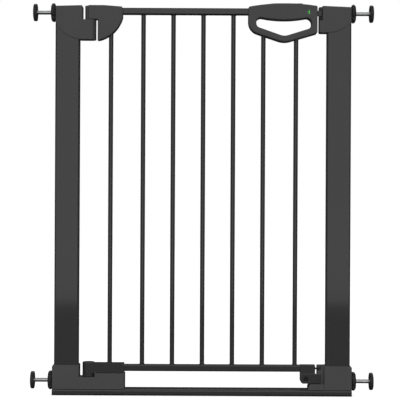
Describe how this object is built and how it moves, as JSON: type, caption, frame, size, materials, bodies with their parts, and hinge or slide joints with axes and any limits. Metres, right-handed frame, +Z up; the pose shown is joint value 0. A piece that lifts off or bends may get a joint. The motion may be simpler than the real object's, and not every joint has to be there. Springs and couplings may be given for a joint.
{
  "type": "safety gate",
  "caption": "Pressure-fit doorway safety gate with a hinged, liftable barred panel, latch handle with indicator and screw spindles that press on the walls.",
  "frame": {"origin": "on the floor, under the middle of the gate", "axes": "+X along the gate to the latch side, -Y to the side with the indicator window, +Z up"},
  "size_m": [0.6696, 0.038, 0.7654],
  "materials": {
    "black_powder_coat": "satin powder coat, fine texture",
    "black_moulding": "matte moulded, fine grain",
    "black_spindle_plastic": "satin moulded",
    "black_rubber": "matte",
    "zinc_plated_steel": "bright zinc plate",
    "dark_screw_steel": "black oxide",
    "grey_moulding": "smooth moulded",
    "green_plastic": "gloss",
    "red_plastic": "gloss",
    "clear_plastic": "clear",
    "spring_steel": "drawn wire"
  },
  "bodies": {
    "frame": {"left_post": "black_powder_coat", "right_post": "black_powder_coat", "sill_bar": "black_powder_coat", "sill_screws": "dark_screw_steel", "sill_plugs": "black_moulding", "pivot_boot": "black_moulding", "strike_boot": "black_moulding", "strike_plate": "black_moulding", "hinge_cover_front": "black_moulding", "hinge_cover_rear": "black_moulding", "receiver_front": "black_moulding", "receiver_rear": "black_moulding", "frame_screws": "dark_screw_steel", "bush_top_left": "black_moulding", "bush_top_right": "black_moulding", "bush_bottom_left": "black_moulding", "bush_bottom_right": "black_moulding"},
    "hinge_pins": {"top_hinge_pin": "zinc_plated_steel", "bottom_hinge_pin": "zinc_plated_steel"},
    "panel": {"top_rail": "black_powder_coat", "bottom_rail": "black_powder_coat", "bar_1": "black_powder_coat", "bar_2": "black_powder_coat", "bar_3": "black_powder_coat", "bar_4": "black_powder_coat", "bar_5": "black_powder_coat", "bar_6": "black_powder_coat", "bar_7": "black_powder_coat", "panel_cover_front": "black_moulding", "panel_cover_rear": "black_moulding", "pivot_cap": "black_powder_coat", "handle_front": "black_moulding", "handle_rear": "black_moulding", "indicator_window": "clear_plastic", "panel_screws": "dark_screw_steel", "latch_spring": "spring_steel", "latch_foot": "black_powder_coat", "foot_screw": "dark_screw_steel", "catch_peg": "dark_screw_steel"},
    "latch": {"latch_bolt": "grey_moulding", "thumb_slide": "black_moulding", "indicator_green": "green_plastic", "indicator_red": "red_plastic"},
    "wheel_top_left": {"handwheel_top_left": "black_spindle_plastic"},
    "spindle_top_left": {"rod_top_left": "zinc_plated_steel", "wall_cup_top_left": "black_spindle_plastic", "wall_pad_top_left": "black_rubber"},
    "wheel_top_right": {"handwheel_top_right": "black_spindle_plastic"},
    "spindle_top_right": {"rod_top_right": "zinc_plated_steel", "wall_cup_top_right": "black_spindle_plastic", "wall_pad_top_right": "black_rubber"},
    "wheel_bottom_left": {"handwheel_bottom_left": "black_spindle_plastic"},
    "spindle_bottom_left": {"rod_bottom_left": "zinc_plated_steel", "wall_cup_bottom_left": "black_spindle_plastic", "wall_pad_bottom_left": "black_rubber"},
    "wheel_bottom_right": {"handwheel_bottom_right": "black_spindle_plastic"},
    "spindle_bottom_right": {"rod_bottom_right": "zinc_plated_steel", "wall_cup_bottom_right": "black_spindle_plastic", "wall_pad_bottom_right": "black_rubber"}
  },
  "joints": [
    {"name": "panel_swing", "type": "hinge", "parent": "frame", "child": "hinge_pins", "pos_m": [-0.2214, 0, 0.4], "axis": [0, 0, -1], "range_deg": [0, 90]},
    {"name": "panel_lift", "type": "slide", "parent": "hinge_pins", "child": "panel", "axis": [0, 0, 1], "range_m": [0, 0.008]},
    {"name": "latch_slide", "type": "slide", "parent": "panel", "child": "latch", "axis": [-1, 0, 0], "range_m": [0, 0.01], "stiffness_N_per_m": 300, "springref_m": -0.01, "deforming": ["latch_spring"]},
    {"name": "wheel_top_left_turn", "type": "hinge", "parent": "frame", "child": "wheel_top_left", "pos_m": [-0.294, 0, 0.746], "axis": [1, 0, 0], "range_deg": [-6340, 3460]},
    {"name": "spindle_top_left_travel", "type": "slide", "parent": "frame", "child": "spindle_top_left", "axis": [-1, 0, 0], "range_m": [-0.022, 0.012]},
    {"name": "wheel_top_right_turn", "type": "hinge", "parent": "frame", "child": "wheel_top_right", "pos_m": [0.294, 0, 0.746], "axis": [-1, 0, 0], "range_deg": [-6340, 3460]},
    {"name": "spindle_top_right_travel", "type": "slide", "parent": "frame", "child": "spindle_top_right", "axis": [1, 0, 0], "range_m": [-0.022, 0.012]},
    {"name": "wheel_bottom_left_turn", "type": "hinge", "parent": "frame", "child": "wheel_bottom_left", "pos_m": [-0.294, 0, 0.028], "axis": [1, 0, 0], "range_deg": [-6340, 3460]},
    {"name": "spindle_bottom_left_travel", "type": "slide", "parent": "frame", "child": "spindle_bottom_left", "axis": [-1, 0, 0], "range_m": [-0.022, 0.012]},
    {"name": "wheel_bottom_right_turn", "type": "hinge", "parent": "frame", "child": "wheel_bottom_right", "pos_m": [0.294, 0, 0.028], "axis": [-1, 0, 0], "range_deg": [-6340, 3460]},
    {"name": "spindle_bottom_right_travel", "type": "slide", "parent": "frame", "child": "spindle_bottom_right", "axis": [1, 0, 0], "range_m": [-0.022, 0.012]}
  ],
  "couplings": [
    {"joint": "wheel_top_left_turn", "follows": "spindle_top_left_travel", "rad_per_m": 5026.5},
    {"joint": "wheel_top_right_turn", "follows": "spindle_top_right_travel", "rad_per_m": 5026.5},
    {"joint": "wheel_bottom_left_turn", "follows": "spindle_bottom_left_travel", "rad_per_m": 5026.5},
    {"joint": "wheel_bottom_right_turn", "follows": "spindle_bottom_right_travel", "rad_per_m": 5026.5}
  ]
}
